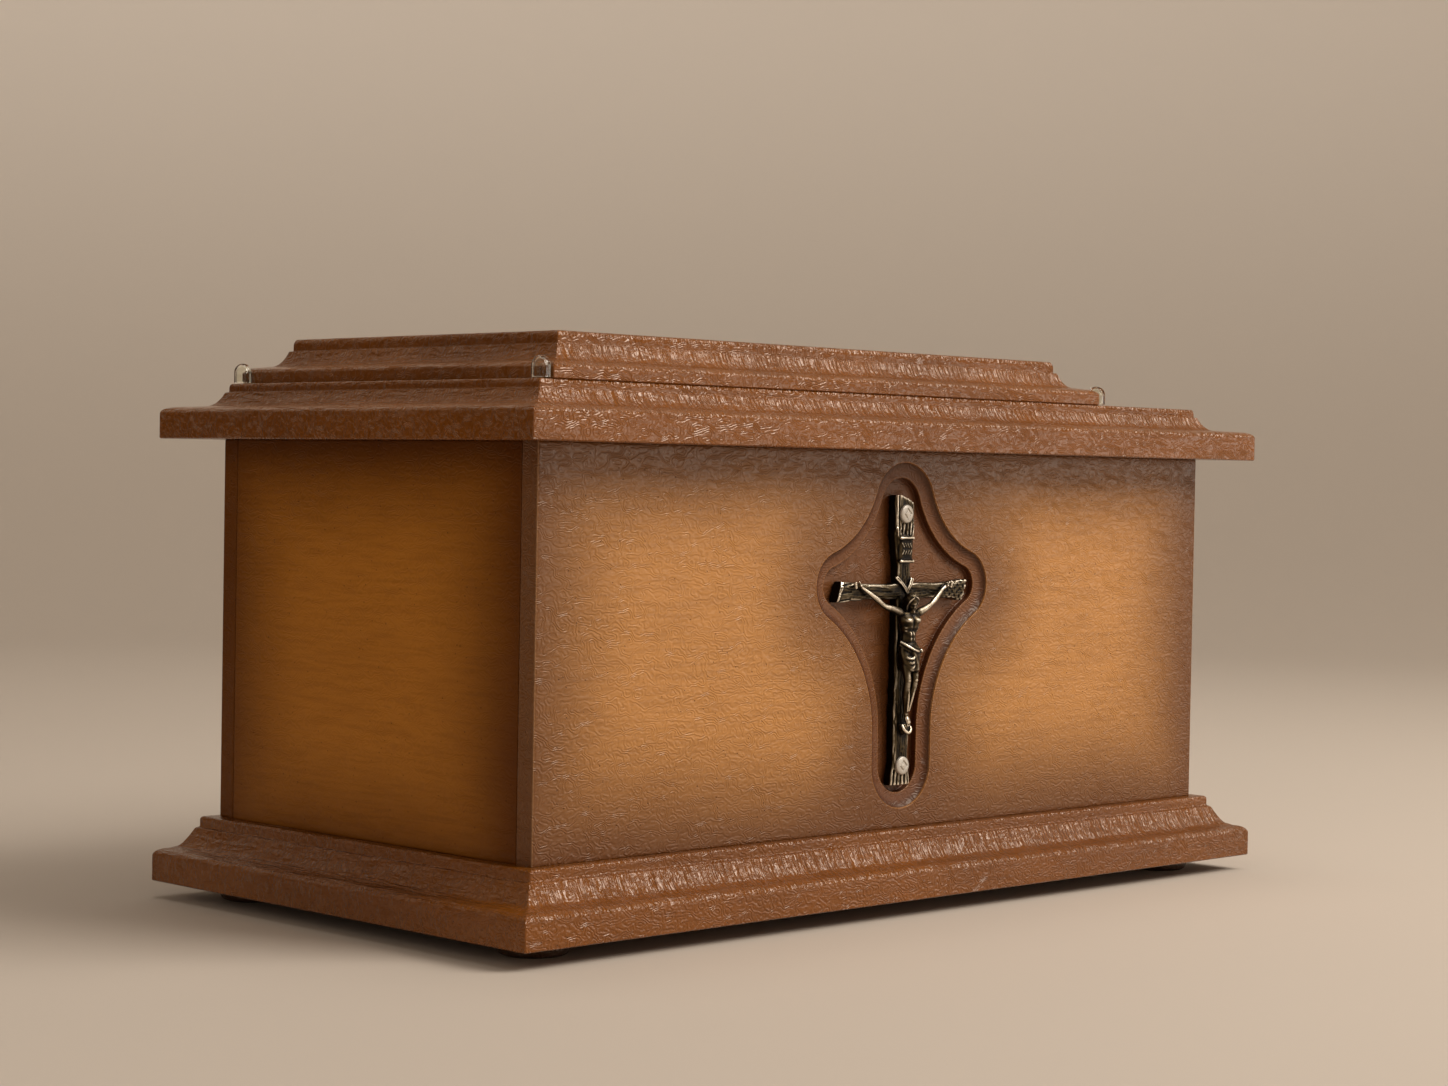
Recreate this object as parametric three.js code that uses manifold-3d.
// Wooden cremation urn: a moulded plinth board on four turned feet, a box of four boards, a lid of
// two moulded tiers with clear corner guards, and a cast crucifix in a routed recess in the front.
// Millimetres, +Z up. The origin is the middle of the plinth's outline, on the surface that the
// feet stand on. +X runs along the long front, and the front faces -Y.

import * as THREE from 'three';
import { mergeVertices } from 'three/addons/utils/BufferGeometryUtils.js';
import Module from 'manifold-3d';

const wasm = await Module();
wasm.setup();

// ---- box of boards ----
const BODY_LENGTH = 294;
const BODY_DEPTH = 143;
const BODY_HEIGHT = 113.5;
const BOARD = 6.5; // thickness of the four boards
const SEAM = 0.2; // open glue line between a side board and the boards that cover its ends

// ---- plinth ----
const PLINTH_OVERHANG = 14.4; // from the body to the plinth's edge
const PLINTH_EDGE = 7.5; // upright edge
const PLINTH_LIP = [3.6, 2.4]; // rounded lip: width, height
const PLINTH_FALL = [1.9, 0.8]; // nearly flat fall above the lip
const PLINTH_COVE = [3.6, 5.5]; // hollow that rises to the fillet
const PLINTH_BEND = [0.3, 0.09]; // where the hollow's end slopes meet, as parts of its width and height
const PLINTH_STEP = [1.0, 0.4]; // small sloping step
const PLINTH_FILLET = 2.0; // thin square edge that the boards stand on
const PLINTH_FILLET_TOP = [0.9, 1.1]; // its rounded top

// ---- lid, lower tier ----
const LID_OVERHANG = 14.0;
const LID_EDGE = 7.5;
const LID_LIP = [3.6, 2.0];
const LID_FALL = [6.1, 0.4];
const LID_COVE = [4.2, 4.3];
const LID_BEND = [0.58, 0.03]; // the same for both tiers
const LID_STEP = 0.8;
const LID_BEAD = [0.8, 1.5]; // rounded top edge of the bead
const LID_BEAD_EDGE = 1.1; // upright part of the bead
const LID_REBATE = 3; // how far the underside drops between the boards
const LID_CLEARANCE = 0.75; // from that drop to each board

// ---- lid, upper tier ----
const CAP_SET_LEFT = 4.9; // from the lower bead's left end to the upper tier
const CAP_SET_RIGHT = 51.8; // from the lower bead's right end to the upper tier
const CAP_EDGE = 3.1;
const CAP_LIP = [3.4, 1.9];
const CAP_FALL = [2.6, 0.4];
const CAP_COVE = [3.8, 4.7];
const CAP_STEP = 0.9;
const CAP_BEAD = [1.1, 2.1];
const CAP_BEAD_EDGE = 1.5;

// ---- feet ----
const FOOT_RADIUS = 10;
const FOOT_HEIGHT = 5;
const FOOT_INSET = 22; // from the plinth's edges to a foot's axis

// ---- clear corner guards: one against each end face of the upper tier, at its corner ----
const GUARD_LENGTH = 5.8; // along the end face, from the corner
const GUARD_PROUD = 3.3; // out from the end face
const GUARD_HEIGHT = 5.8;
const GUARD_DOME = 2.7; // radius of the top along the end face
const GUARD_CORNER = 1.8; // radius of its outer corners, seen from above
const GUARD_GAP = 0.3; // from the guard to both tiers

// ---- recess in the front board: an outline of arcs that meet smoothly ----
const RECESS_ARM_RAISE = 16.35; // centre line of the arms above the middle of the boards
const RECESS_HEAD = { radius: 13.5, above: 23.6 }; // upper round end, above the arm line
const RECESS_ARM = { radius: 10.5, out: 28 }; // round ends of the arms
const RECESS_NECK_RADIUS = 30; // hollow curve from head to arm
const RECESS_SHAFT = { half: 13.2, below: 54.1 }; // straight lower shaft and its round end
const RECESS_COVE = [4.7, 1.7]; // moulded border: width, depth
const RECESS_WALL = 2.1; // steep wall from the border down to the floor
const RECESS_FLOOR_FILLET = 0.4;

// ---- crucifix casting ----
const CASTING_GAP = 0.3; // between the casting's back and the recess floor
const CROSS_THICKNESS = 3.6;
const CROSS_EDGE = 0.8; // worn rounding of its front edges
const CROSS_TOP = 27.6; // all heights below are from the recess's arm line, up positive
const CROSS_BOTTOM = -60.3;
const CROSSBAR_UP = -1.7; // centre line of the crossbar
const CROSS_ARM = 28.4; // half length of the crossbar
const UPRIGHT_HALF = [ // height on the upright, half width there
  [CROSS_TOP, 4.4], [16, 4.3], [5, 2.8], [-8, 3.0], [-36, 3.3], [-52, 3.3], [CROSS_BOTTOM, 4.5],
];
const CROSSBAR_HALF = [[0, 2.4], [14, 2.3], [22, 2.7], [CROSS_ARM, 3.3]];
const HEWN = 0.22; // depth of the hewn unevenness along its edges
const PLATE = { width: 5.6, height: 7.0, up: 10.8, proud: 0.7, rim: 0.7 };
const FIGURE_HEIGHT = 41; // crown to soles
const SOLES_UP = -43.3;
const ARM_REACH = { left: [0.27, 0.468, 0.53], right: [0.237, 0.402, 0.475] }; // elbow, wrist, palm

// ---- screws ----
const SCREW_HEAD_RADIUS = 2.75;
const SCREW_HEAD_HEIGHT = 1.2;
const SCREW_SHANK_RADIUS = 1.2;
const SCREW_HOLE_CLEARANCE = 0.3;
const SCREW_UP = [21.6, -54.4]; // heights from the arm line
const SCREW_DRIVE = 1.9; // side of the square drive mark
const SCREW_REACH = 1.9; // how far a shank enters the board behind the recess

// ---- worked out from the sizes above ----
const sum = (...parts) => parts.reduce((total, part) => total + part, 0);
const PLINTH_HEIGHT = sum(PLINTH_EDGE, PLINTH_LIP[1], PLINTH_FALL[1], PLINTH_COVE[1], PLINTH_STEP[1],
  PLINTH_FILLET, PLINTH_FILLET_TOP[1]);
const LID_HEIGHT = sum(LID_EDGE, LID_LIP[1], LID_FALL[1], LID_COVE[1], LID_BEAD_EDGE, LID_BEAD[1]);
const LID_INSET = sum(LID_LIP[0], LID_FALL[0], LID_COVE[0], LID_STEP);
const Z_PLINTH = FOOT_HEIGHT;
const Z_BODY = Z_PLINTH + PLINTH_HEIGHT;
const Z_LID = Z_BODY + BODY_HEIGHT;
const Z_CAP = Z_LID + LID_HEIGHT;
const FRONT = -BODY_DEPTH / 2;
const RECESS_DEPTH = RECESS_COVE[1] + RECESS_WALL;

// ---- materials ----
const wood = (name, colour, roughness) =>
  Object.assign(new THREE.MeshStandardMaterial({ color: colour, roughness, metalness: 0 }), { name });
const panelWood = wood('honey_brown_panel', '#8f5c30', 0.42);
const mouldingWood = wood('brown_moulding', '#7a4a29', 0.36);
const footWood = wood('dark_foot', '#3c2618', 0.6);
const bronze = new THREE.MeshStandardMaterial({ color: '#6b5d3f', roughness: 0.42, metalness: 0.9 });
const steel = new THREE.MeshStandardMaterial({ color: '#cfc6b6', roughness: 0.35, metalness: 0.85 });
const clear = new THREE.MeshStandardMaterial({ color: '#dcd6bd', roughness: 0.12, metalness: 0,
  transparent: true, opacity: 0.35 });

// ---- helpers ----
function toSolid(geometry) {
  const bare = geometry.clone();
  bare.deleteAttribute('normal');
  bare.deleteAttribute('uv');
  const merged = mergeVertices(bare, 1e-5);
  return new wasm.Manifold(new wasm.Mesh({
    numProp: 3,
    vertProperties: new Float32Array(merged.attributes.position.array),
    triVerts: new Uint32Array(merged.index.array),
  }));
}

function toGeometry(solid) {
  const mesh = solid.getMesh();
  const geometry = new THREE.BufferGeometry();
  geometry.setAttribute('position', new THREE.BufferAttribute(new Float32Array(mesh.vertProperties), 3));
  geometry.setIndex(new THREE.BufferAttribute(new Uint32Array(mesh.triVerts), 1));
  geometry.computeVertexNormals();
  return geometry;
}

const shapeOf = (points) => new THREE.Shape(points.map(([u, v]) => new THREE.Vector2(u, v)));

// A prism along X from a section in Y and Z, or along Y from a section in X and Z.
function prism(section, axis, length) {
  const geometry = new THREE.ExtrudeGeometry(shapeOf(section), { depth: length, bevelEnabled: false });
  geometry.translate(0, 0, -length / 2);
  const basis = new THREE.Matrix4();
  if (axis === 'x') {
    basis.makeBasis(new THREE.Vector3(0, 1, 0), new THREE.Vector3(0, 0, 1), new THREE.Vector3(1, 0, 0));
  } else {
    basis.makeBasis(new THREE.Vector3(1, 0, 0), new THREE.Vector3(0, 0, 1), new THREE.Vector3(0, -1, 0));
  }
  return toSolid(geometry.applyMatrix4(basis));
}

// A shape drawn in X and Z, pushed into the front from y0 (outside) to y1 (inside).
function frontPlug(shape, y0, y1, options = {}) {
  const geometry = new THREE.ExtrudeGeometry(shape, { depth: y1 - y0, bevelEnabled: false, ...options });
  const basis = new THREE.Matrix4().makeBasis(
    new THREE.Vector3(1, 0, 0), new THREE.Vector3(0, 0, 1), new THREE.Vector3(0, -1, 0));
  geometry.applyMatrix4(basis);
  geometry.translate(0, y1, 0);
  return geometry;
}

const box = (x0, x1, y0, y1, z0, z1) => {
  const geometry = new THREE.BoxGeometry(x1 - x0, y1 - y0, z1 - z0);
  return geometry.translate((x0 + x1) / 2, (y0 + y1) / 2, (z0 + z1) / 2);
};

// Moulding profile: a chain of [inset, height] points from the bottom edge inwards and upwards. A
// round is a quarter ellipse. A cove is a quadratic curve that is pulled towards its bend.
function profile(steps) {
  const points = [[0, 0]];
  const tip = () => points[points.length - 1];
  const ARC = 5;
  for (const [kind, a, b, bend] of steps) {
    const [inset, height] = tip();
    if (kind === 'rise') points.push([inset, height + a]);
    if (kind === 'shelf') points.push([inset + a, height]);
    if (kind === 'fall') points.push([inset + a, height + b]);
    for (let i = 1; i <= ARC && (kind === 'round' || kind === 'cove'); i++) {
      const t = i / ARC;
      const turn = t * Math.PI / 2;
      const bent = (size, part) => size * (2 * t * (1 - t) * part + t * t);
      points.push(kind === 'round'
        ? [inset + a * (1 - Math.cos(turn)), height + b * Math.sin(turn)]
        : [inset + bent(a, bend[0]), height + bent(b, bend[1])]);
    }
  }
  return points;
}

// A board whose four edges all carry the same moulding, mitred at the corners.
function mouldedBoard(points, x0, x1, y0, y1, z) {
  const section = (low, high) => [
    ...points.map(([inset, height]) => [high - inset, z + height]),
    ...points.slice().reverse().map(([inset, height]) => [low + inset, z + height]),
  ];
  const alongX = prism(section(y0, y1), 'x', 4 * (x1 - x0));
  const alongY = prism(section(x0, x1), 'y', 4 * (y1 - y0));
  return alongX.intersect(alongY);
}

const urn = new THREE.Group();
urn.name = 'urn';
function place(name, geometry, material) {
  const mesh = new THREE.Mesh(geometry, material);
  mesh.name = name;
  urn.add(mesh);
  return mesh;
}

// ---- plinth ----
const plinthX = BODY_LENGTH / 2 + PLINTH_OVERHANG;
const plinthY = BODY_DEPTH / 2 + PLINTH_OVERHANG;
const plinthProfile = profile([
  ['rise', PLINTH_EDGE], ['round', ...PLINTH_LIP], ['fall', ...PLINTH_FALL],
  ['cove', ...PLINTH_COVE, PLINTH_BEND], ['fall', ...PLINTH_STEP], ['rise', PLINTH_FILLET],
  ['round', ...PLINTH_FILLET_TOP],
]);
place('plinth_board',
  toGeometry(mouldedBoard(plinthProfile, -plinthX, plinthX, -plinthY, plinthY, Z_PLINTH)), mouldingWood);

// ---- feet: low turned buns ----
const footProfile = [[0, 0], [0.84, 0], [0.95, 0.1], [1, 0.32], [1, 0.66], [0.93, 1], [0, 1]]
  .map(([r, h]) => new THREE.Vector2(r * FOOT_RADIUS, h * FOOT_HEIGHT));
for (const [name, sx, sy] of [['front_left', -1, -1], ['front_right', 1, -1],
  ['back_left', -1, 1], ['back_right', 1, 1]]) {
  const geometry = new THREE.LatheGeometry(footProfile, 24).rotateX(Math.PI / 2);
  const foot = place(`foot_${name}`, toGeometry(toSolid(geometry)), footWood);
  foot.position.set(sx * (plinthX - FOOT_INSET), sy * (plinthY - FOOT_INSET), 0);
}

// ---- recess outline, drawn once and used for the cut ----
const armLine = Z_BODY + BODY_HEIGHT / 2 + RECESS_ARM_RAISE;

// The hollow arc that touches two round ends from outside, on the given side of their line.
function bridging(c0, r0, c1, r1, radius) {
  const dx = c1.x - c0.x, dz = c1.z - c0.z, gap = Math.hypot(dx, dz);
  const a = r0 + radius, b = r1 + radius;
  const along = (a * a - b * b + gap * gap) / (2 * gap);
  const aside = Math.sqrt(a * a - along * along);
  return { x: c0.x + (dx * along - dz * aside) / gap, z: c0.z + (dz * along + dx * aside) / gap };
}

function recessHalf() {
  const head = { x: 0, z: RECESS_HEAD.above };
  const arm = { x: RECESS_ARM.out, z: 0 };
  const neck = bridging(head, RECESS_HEAD.radius, arm, RECESS_ARM.radius, RECESS_NECK_RADIUS);
  // The hollow under the arm touches the arm's round end and the straight shaft.
  const lean = Math.PI / 3;
  const under = (RECESS_ARM.out + RECESS_ARM.radius * Math.cos(lean) - RECESS_SHAFT.half)
    / (1 - Math.cos(lean));
  const hollow = {
    x: RECESS_SHAFT.half + under,
    z: -(under + RECESS_ARM.radius) * Math.sin(lean),
  };
  const points = [];
  const arc = (centre, radius, from, to, count) => {
    for (let i = 0; i < count; i++) {
      const turn = from + (to - from) * (i / count);
      points.push([centre.x + radius * Math.cos(turn), centre.z + radius * Math.sin(turn)]);
    }
  };
  const headTurn = Math.atan2(neck.z - head.z, neck.x - head.x);
  const armTurn = Math.atan2(neck.z - arm.z, neck.x - arm.x);
  arc(head, RECESS_HEAD.radius, Math.PI / 2, headTurn, 6);
  arc(neck, RECESS_NECK_RADIUS, headTurn + Math.PI, armTurn + Math.PI, 6);
  arc(arm, RECESS_ARM.radius, armTurn, -lean, 8);
  arc(hollow, under, Math.PI - lean, Math.PI, 7);
  arc({ x: 0, z: -RECESS_SHAFT.below }, RECESS_SHAFT.half, 0, -Math.PI / 2, 8);
  return points;
}

const half = recessHalf();
const bottomPoint = [0, -RECESS_SHAFT.below - RECESS_SHAFT.half];
const outline = [...half, bottomPoint, ...half.slice(1).reverse().map(([x, z]) => [-x, z])]
  .map(([x, z]) => [x, z + armLine]);
const recessShape = shapeOf(outline.reverse());

// ---- boards ----
const innerX = BODY_LENGTH / 2 - BOARD;
const innerY = BODY_DEPTH / 2 - BOARD;
const OUTSIDE = 4; // how far the cutters stand out in front
let front = toSolid(box(-BODY_LENGTH / 2, BODY_LENGTH / 2, FRONT, FRONT + BOARD, Z_BODY, Z_LID));
const border = frontPlug(recessShape, FRONT - OUTSIDE, FRONT, {
  bevelEnabled: true, bevelThickness: RECESS_COVE[1], bevelSize: RECESS_COVE[0],
  bevelOffset: -RECESS_COVE[0], bevelSegments: 4,
});
const pocket = frontPlug(recessShape, FRONT - OUTSIDE, FRONT + RECESS_DEPTH - RECESS_FLOOR_FILLET, {
  bevelEnabled: true, bevelThickness: RECESS_FLOOR_FILLET, bevelSize: RECESS_FLOOR_FILLET,
  bevelOffset: -RECESS_COVE[0] - RECESS_FLOOR_FILLET, bevelSegments: 1,
});
front = front.subtract(toSolid(border)).subtract(toSolid(pocket));

// ---- screws: pan head on a shank, axis along Y ----
const castingBack = FRONT + RECESS_DEPTH - CASTING_GAP;
const castingFront = castingBack - CROSS_THICKNESS;
const shankEnd = FRONT + RECESS_DEPTH + SCREW_REACH;

function shank(radius, y0, y1, z) {
  const geometry = new THREE.CylinderGeometry(radius, radius, y1 - y0, 16);
  return geometry.translate(0, (y0 + y1) / 2, z);
}

function screwAt(up) {
  const z = armLine + up;
  const dome = [[0, 0], [SCREW_HEAD_RADIUS, 0], [SCREW_HEAD_RADIUS, SCREW_HEAD_HEIGHT * 0.35],
    [SCREW_HEAD_RADIUS * 0.9, SCREW_HEAD_HEIGHT * 0.75], [SCREW_HEAD_RADIUS * 0.65, SCREW_HEAD_HEIGHT],
    [0, SCREW_HEAD_HEIGHT]].map(([r, h]) => new THREE.Vector2(r, h));
  const head = new THREE.LatheGeometry(dome, 20).rotateX(Math.PI).translate(0, castingFront, z);
  const stem = shank(SCREW_SHANK_RADIUS, castingFront - SCREW_HEAD_HEIGHT * 0.5, shankEnd, z);
  // The drive is a square groove round a raised middle, turned like a diamond.
  const driveDepth = SCREW_HEAD_HEIGHT * 0.35;
  const yTop = castingFront - SCREW_HEAD_HEIGHT;
  const square = (side) => new THREE.BoxGeometry(side, driveDepth * 2, side)
    .rotateY(Math.PI / 4).translate(0, yTop, z);
  const drive = toSolid(square(SCREW_DRIVE)).subtract(toSolid(square(SCREW_DRIVE * 0.5)));
  return toSolid(head).add(toSolid(stem)).subtract(drive);
}

for (const up of SCREW_UP) {
  front = front.subtract(toSolid(shank(SCREW_SHANK_RADIUS + SCREW_HOLE_CLEARANCE,
    FRONT, shankEnd + SCREW_HOLE_CLEARANCE, armLine + up)));
}
place('front_board', toGeometry(front), panelWood);
place('back_board',
  box(-BODY_LENGTH / 2, BODY_LENGTH / 2, -FRONT - BOARD, -FRONT, Z_BODY, Z_LID), panelWood);
place('left_side_board',
  box(-BODY_LENGTH / 2, -innerX, -innerY + SEAM, innerY - SEAM, Z_BODY, Z_LID), panelWood);
place('right_side_board',
  box(innerX, BODY_LENGTH / 2, -innerY + SEAM, innerY - SEAM, Z_BODY, Z_LID), panelWood);

// ---- lid, lower tier ----
const lidX = BODY_LENGTH / 2 + LID_OVERHANG;
const lidY = BODY_DEPTH / 2 + LID_OVERHANG;
const lidProfile = profile([
  ['rise', LID_EDGE], ['round', ...LID_LIP], ['fall', ...LID_FALL], ['cove', ...LID_COVE, LID_BEND],
  ['shelf', LID_STEP], ['rise', LID_BEAD_EDGE], ['round', ...LID_BEAD],
]);
const dropX = innerX - LID_CLEARANCE;
const dropY = innerY - LID_CLEARANCE;
const lowerTier = mouldedBoard(lidProfile, -lidX, lidX, -lidY, lidY, Z_LID)
  .add(toSolid(box(-dropX, dropX, -dropY, dropY, Z_LID - LID_REBATE, Z_LID + 1)));
place('lid_lower_tier', toGeometry(lowerTier), mouldingWood);

// ---- lid, upper tier: flush with the bead at front and back, set towards the left end ----
const beadX = lidX - LID_INSET;
const beadY = lidY - LID_INSET;
const capX0 = -beadX + CAP_SET_LEFT;
const capX1 = beadX - CAP_SET_RIGHT;
const capProfile = profile([
  ['rise', CAP_EDGE], ['round', ...CAP_LIP], ['fall', ...CAP_FALL], ['cove', ...CAP_COVE, LID_BEND],
  ['shelf', CAP_STEP], ['rise', CAP_BEAD_EDGE], ['round', ...CAP_BEAD],
]);
place('lid_upper_tier',
  toGeometry(mouldedBoard(capProfile, capX0, capX1, -beadY, beadY, Z_CAP)), mouldingWood);

// ---- clear corner guards ----
// A section from low to high whose foot is straight and whose two far corners are rounded.
function arch(low, high, foot, crown, radiusLow, radiusHigh) {
  const steps = 4;
  const rise = Math.sign(crown - foot);
  const points = [[low, foot], [high, foot]];
  for (const [side, edge, radius] of [[1, high, radiusHigh], [-1, low, radiusLow]]) {
    for (let i = 0; i <= steps; i++) {
      const turn = ((side > 0 ? i : steps - i) / steps) * Math.PI / 2;
      points.push([edge - side * radius * (1 - Math.cos(turn)),
        crown - rise * radius * (1 - Math.sin(turn))]);
    }
  }
  return points;
}
const guardFloor = Z_CAP + GUARD_GAP;
const guardTop = guardFloor + GUARD_HEIGHT;
const innerRound = GUARD_CORNER / 3;
for (const [name, cornerX, cornerY, sx, sy] of [
  ['front_left', capX0, -beadY, -1, 1], ['front_right', capX1, -beadY, 1, 1],
  ['back_left', capX0, beadY, -1, -1], ['back_right', capX1, beadY, 1, -1]]) {
  const inside = cornerX + sx * GUARD_GAP;
  const outside = inside + sx * GUARD_PROUD;
  const [y0, y1] = [cornerY, cornerY + sy * GUARD_LENGTH].sort((a, b) => a - b);
  const across = sx > 0
    ? arch(inside, outside, guardFloor, guardTop, innerRound, GUARD_DOME)
    : arch(outside, inside, guardFloor, guardTop, GUARD_DOME, innerRound);
  const plan = arch(y0, y1, inside, outside, GUARD_CORNER, GUARD_CORNER).map(([y, x]) => [x, y]);
  const pillar = new THREE.ExtrudeGeometry(shapeOf(plan), { depth: GUARD_HEIGHT, bevelEnabled: false })
    .translate(0, 0, guardFloor);
  const guard = toSolid(pillar)
    .intersect(prism(arch(y0, y1, guardFloor, guardTop, GUARD_DOME, GUARD_DOME), 'x', BODY_LENGTH * 2))
    .intersect(prism(across, 'y', BODY_LENGTH * 2));
  place(`corner_guard_${name}`, toGeometry(guard), clear);
}

// ---- crucifix casting ----
// Half width of a hewn timber at a given place: straight runs between the named sizes.
function widthAt(table, place) {
  const rows = table[0][0] < table[table.length - 1][0] ? table : table.slice().reverse();
  for (let i = 1; i < rows.length; i++) {
    if (place <= rows[i][0]) {
      const t = (place - rows[i - 1][0]) / (rows[i][0] - rows[i - 1][0]);
      const ease = t * t * (3 - 2 * t);
      return rows[i - 1][1] + (rows[i][1] - rows[i - 1][1]) * ease;
    }
  }
  return rows[rows.length - 1][1];
}
const hewn = (place, side) => HEWN * (Math.sin(place * 0.9 + side * 1.7) + 0.6 * Math.sin(place * 2.3 + side));

function uprightOutline() {
  const points = [];
  const steps = 16;
  for (let i = 0; i <= steps; i++) {
    const z = CROSS_BOTTOM + (CROSS_TOP - CROSS_BOTTOM) * (i / steps);
    points.push([widthAt(UPRIGHT_HALF, z) + hewn(z, 1), z - (i === steps ? 1.4 : 0)]);
  }
  points.push([0.6, CROSS_TOP - 1.2]); // the broken top slopes down to the right
  for (let i = steps; i >= 0; i--) {
    const z = CROSS_BOTTOM + (CROSS_TOP - CROSS_BOTTOM) * (i / steps);
    points.push([-widthAt(UPRIGHT_HALF, z) - hewn(z, 2), z]);
  }
  points.push([0, CROSS_BOTTOM - 0.4]);
  return points;
}

function crossbarOutline() {
  const points = [];
  const steps = 12;
  for (let i = 0; i <= steps; i++) {
    const x = -CROSS_ARM + 2 * CROSS_ARM * (i / steps);
    const lean = i === 0 ? -1.5 : i === steps ? -1.8 : 0; // the lower corner stands further out on the left
    points.push([x + lean, CROSSBAR_UP - widthAt(CROSSBAR_HALF, Math.abs(x)) + hewn(x, 3)]);
  }
  for (let i = steps; i >= 0; i--) {
    const x = -CROSS_ARM + 2 * CROSS_ARM * (i / steps);
    points.push([x, CROSSBAR_UP + widthAt(CROSSBAR_HALF, Math.abs(x)) + hewn(x, 4)]);
  }
  return points;
}

// Everything behind the casting's flat back.
const behindCasting = () => toSolid(
  box(-BODY_LENGTH / 2, BODY_LENGTH / 2, castingBack, castingBack + BODY_DEPTH, Z_BODY, Z_LID));

function timber(points) {
  const shape = shapeOf(points.map(([x, z]) => [x, z + armLine]));
  return toSolid(frontPlug(shape, castingFront + CROSS_EDGE, castingBack - CROSS_EDGE * 0.25, {
    bevelEnabled: true, bevelThickness: CROSS_EDGE, bevelSize: CROSS_EDGE,
    bevelOffset: -CROSS_EDGE, bevelSegments: 2,
  })).subtract(behindCasting());
}

// Chisel cuts: long V grooves in the front of the timbers.
function groove(x0, z0, x1, z1, width, depth) {
  const long = Math.hypot(x1 - x0, z1 - z0);
  const geometry = new THREE.CylinderGeometry(width, width, long, 4, 1).scale(1, 1, depth / width);
  geometry.rotateX(Math.PI / 2).rotateX(-Math.PI / 2);
  const turn = new THREE.Quaternion().setFromUnitVectors(new THREE.Vector3(0, 1, 0),
    new THREE.Vector3((x1 - x0) / long, 0, (z1 - z0) / long));
  geometry.applyQuaternion(turn);
  geometry.translate((x0 + x1) / 2, castingFront, (z0 + z1) / 2 + armLine);
  return toSolid(geometry);
}

let casting = timber(uprightOutline()).add(timber(crossbarOutline()));
for (let i = -2; i <= 2; i++) {
  casting = casting.subtract(groove(i * 1.5, 17.6, i * 1.35, 15.4, 0.36, 0.5));
  casting = casting.subtract(groove(i * 1.5, -57.2, i * 1.7, -60.0, 0.36, 0.5));
}
for (const side of [-1, 1]) {
  for (const [z0, z1] of [[0.9, 1.8], [-0.9, -1.9]]) {
    casting = casting.subtract(groove(side * 8, CROSSBAR_UP + z0,
      side * (CROSS_ARM - 1.2), CROSSBAR_UP + z1, 0.3, 0.4));
  }
  casting = casting.subtract(groove(side * 1.4, -20, side * 1.6, -46, 0.3, 0.4));
}

// Lashing across the joint of the timbers.
function limb(a, b, ra, rb, sides = 10) {
  const from = new THREE.Vector3(...a), to = new THREE.Vector3(...b);
  const long = from.distanceTo(to);
  const rings = 2;
  const points = [new THREE.Vector2(0, -ra)];
  for (let i = 1; i <= rings; i++) {
    const turn = (i / rings) * Math.PI / 2;
    points.push(new THREE.Vector2(ra * Math.sin(turn), -ra * Math.cos(turn)));
  }
  for (let i = 0; i < rings; i++) {
    const turn = (i / rings) * Math.PI / 2;
    points.push(new THREE.Vector2(rb * Math.cos(turn), long + rb * Math.sin(turn)));
  }
  points.push(new THREE.Vector2(0, long + rb));
  const geometry = new THREE.LatheGeometry(points, sides);
  const turn = new THREE.Quaternion().setFromUnitVectors(
    new THREE.Vector3(0, 1, 0), to.clone().sub(from).normalize());
  geometry.applyQuaternion(turn).translate(from.x, from.y, from.z);
  return toSolid(geometry);
}

function ball(centre, radii, sides = 12, rows = 8, tilt = 0) {
  const geometry = new THREE.SphereGeometry(1, sides, rows).rotateX(Math.PI / 2)
    .scale(...radii).rotateY(tilt).translate(...centre);
  return toSolid(geometry);
}

// The figure's own measures: fractions of its height, crown at 1 and soles at 0.
const up = (fraction) => armLine + SOLES_UP + fraction * FIGURE_HEIGHT;
const wide = (fraction) => fraction * FIGURE_HEIGHT;
const out = (depth) => castingFront - depth;

for (const side of [-1, 1]) {
  casting = casting.add(limb([side * 3.1, out(0.1), armLine + CROSSBAR_UP + 3.4],
    [side * -0.6, out(0.1), armLine + CROSSBAR_UP - 1.6], 0.45, 0.45, 6));
}
const plateZ = armLine + PLATE.up;
casting = casting.add(toSolid(box(-PLATE.width / 2, PLATE.width / 2, out(PLATE.proud), out(-0.5),
  plateZ - PLATE.height / 2, plateZ + PLATE.height / 2)));
for (const end of [-1, 1]) {
  const z = plateZ + end * PLATE.height / 2;
  casting = casting.add(toSolid(box(-PLATE.width / 2 - 0.3, PLATE.width / 2 + 0.3,
    out(PLATE.proud + 0.3), out(-0.4), z - PLATE.rim / 2, z + PLATE.rim / 2)));
}

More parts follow.
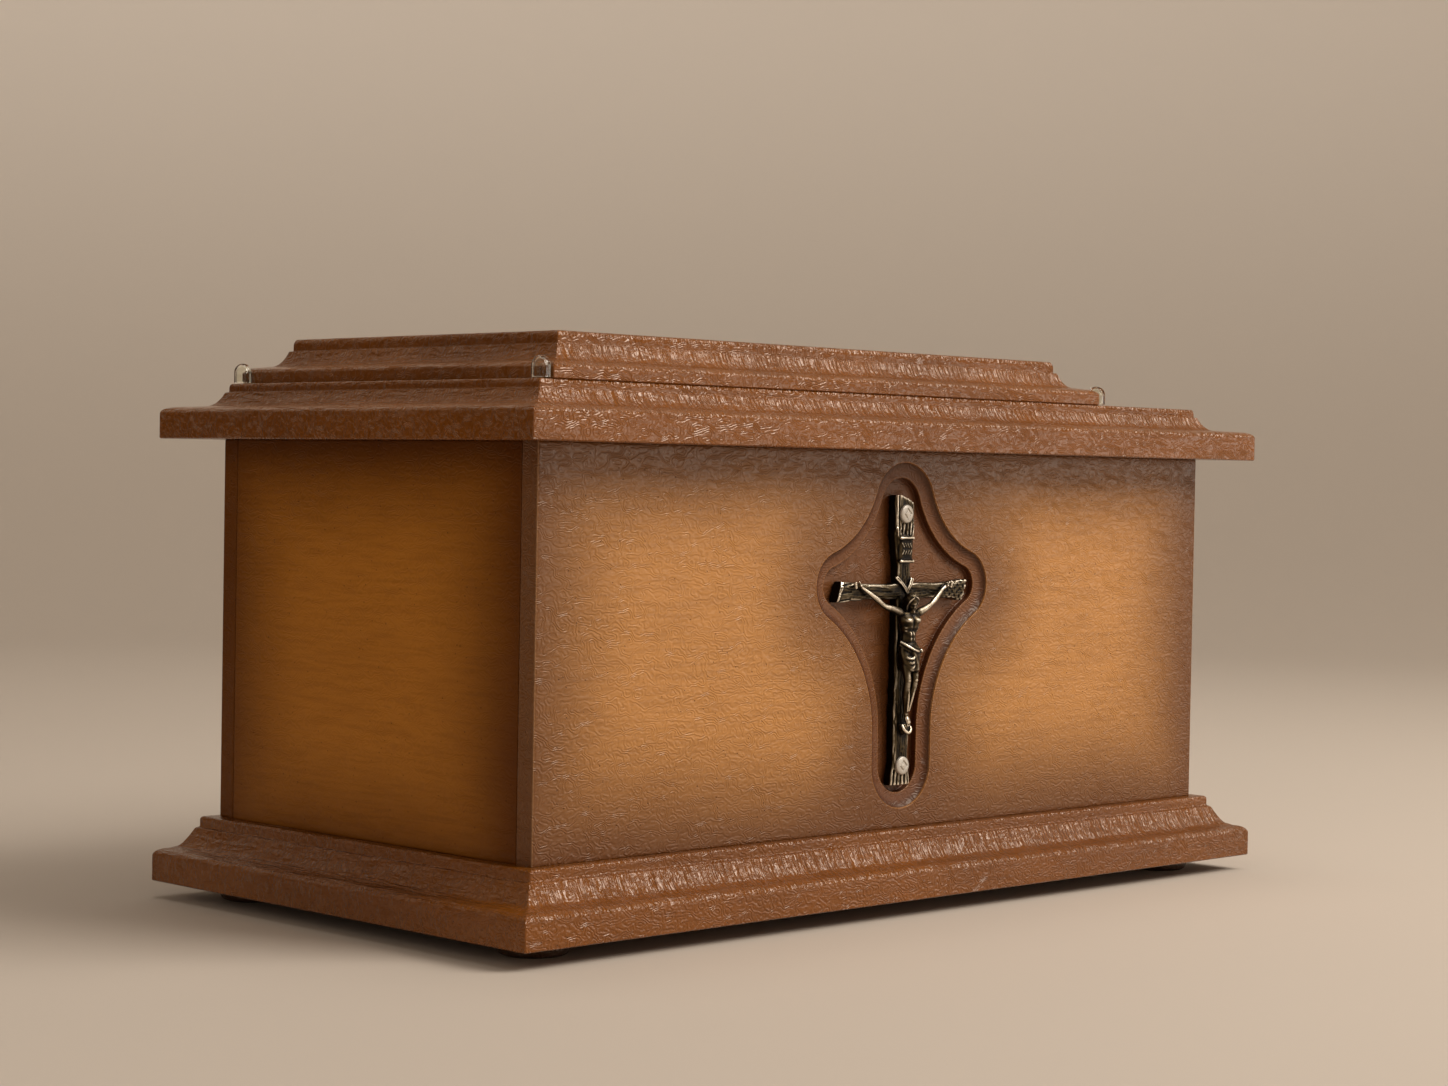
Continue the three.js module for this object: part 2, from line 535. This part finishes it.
const figure = [
  // head, hair and beard
  ball([-0.6, out(2.3), up(0.935)], [wide(0.046), wide(0.05), wide(0.064)], 12, 8, 0.18),
  ball([-0.6, out(1.7), up(0.945)], [wide(0.058), wide(0.05), wide(0.062)], 12, 8, 0.18),
  ball([-0.8, out(2.6), up(0.885)], [wide(0.03), wide(0.03), wide(0.032)], 8, 6),
  limb([0, out(1.2), up(0.80)], [0.1, out(1.6), up(0.9)], wide(0.03), wide(0.028), 8),
  // ribcage, belly and hips
  ball([0, out(1.0), up(0.775)], [wide(0.106), wide(0.062), wide(0.085)], 14, 10),
  ball([-1.7, out(2.2), up(0.795)], [wide(0.052), wide(0.034), wide(0.036)], 10, 6),
  ball([1.7, out(2.2), up(0.795)], [wide(0.052), wide(0.034), wide(0.036)], 10, 6),
  ball([0, out(1.2), up(0.67)], [wide(0.074), wide(0.052), wide(0.1)], 12, 8),
  // loincloth: wrapped hips, a hanging fold and a knot
  ball([0, out(1.3), up(0.575)], [wide(0.1), wide(0.066), wide(0.075)], 14, 8),
  limb([-3.4, out(1.6), up(0.61)], [3.2, out(1.9), up(0.585)], 0.7, 0.7, 8),
  limb([3.3, out(1.5), up(0.6)], [3.7, out(1.2), up(0.49)], 0.85, 0.45, 8),
  limb([-0.8, out(2.6), up(0.57)], [-0.5, out(2.5), up(0.5)], 0.9, 0.55, 8),
  // feet on the ledge
  limb([-0.5, out(1.9), up(0.07)], [-0.7, out(2.3), up(0.015)], 0.85, 0.6, 8),
  limb([0.6, out(2.3), up(0.075)], [0.5, out(2.7), up(0.02)], 0.8, 0.6, 8),
  ball([0, out(0.7), up(-0.03)], [2.1, 2.0, 1.7], 12, 6),
];
for (const side of [-1, 1]) {
  const [toElbow, toWrist, toPalm] = side < 0 ? ARM_REACH.left : ARM_REACH.right;
  const shoulder = [side * wide(0.115), out(1.4), up(0.86)];
  const elbow = [side * wide(toElbow), out(1.6), up(0.905)];
  const wrist = [side * wide(toWrist), out(0.8), up(1.025)];
  const palm = [side * wide(toPalm), out(0.5), up(1.06)];
  figure.push(limb(shoulder, elbow, wide(0.033), wide(0.023)));
  figure.push(limb(elbow, wrist, wide(0.024), wide(0.016)));
  figure.push(limb(wrist, palm, wide(0.02), wide(0.017), 8));
  const hip = [side * wide(0.048), out(1.5), up(0.54)];
  const knee = [side * wide(0.033) - 0.2, out(2.8), up(0.315)];
  const ankle = [side * wide(0.018), out(1.7), up(0.085)];
  figure.push(limb(hip, knee, wide(0.05), wide(0.036)));
  figure.push(limb(knee, ankle, wide(0.036), wide(0.02)));
}
for (const piece of figure) casting = casting.add(piece);
for (const rise of SCREW_UP) {
  casting = casting.subtract(toSolid(shank(SCREW_SHANK_RADIUS + SCREW_HOLE_CLEARANCE,
    castingFront - 6, castingBack + 1, armLine + rise)));
}
// Nothing of the casting reaches behind its flat back, and it is one body without bubbles.
casting = casting.subtract(behindCasting());
casting = casting.decompose().reduce((best, piece) => (piece.volume() > best.volume() ? piece : best));
place('crucifix_casting', toGeometry(casting), bronze);
place('upper_screw', toGeometry(screwAt(SCREW_UP[0])), steel);
place('lower_screw', toGeometry(screwAt(SCREW_UP[1])), steel);

export default urn;
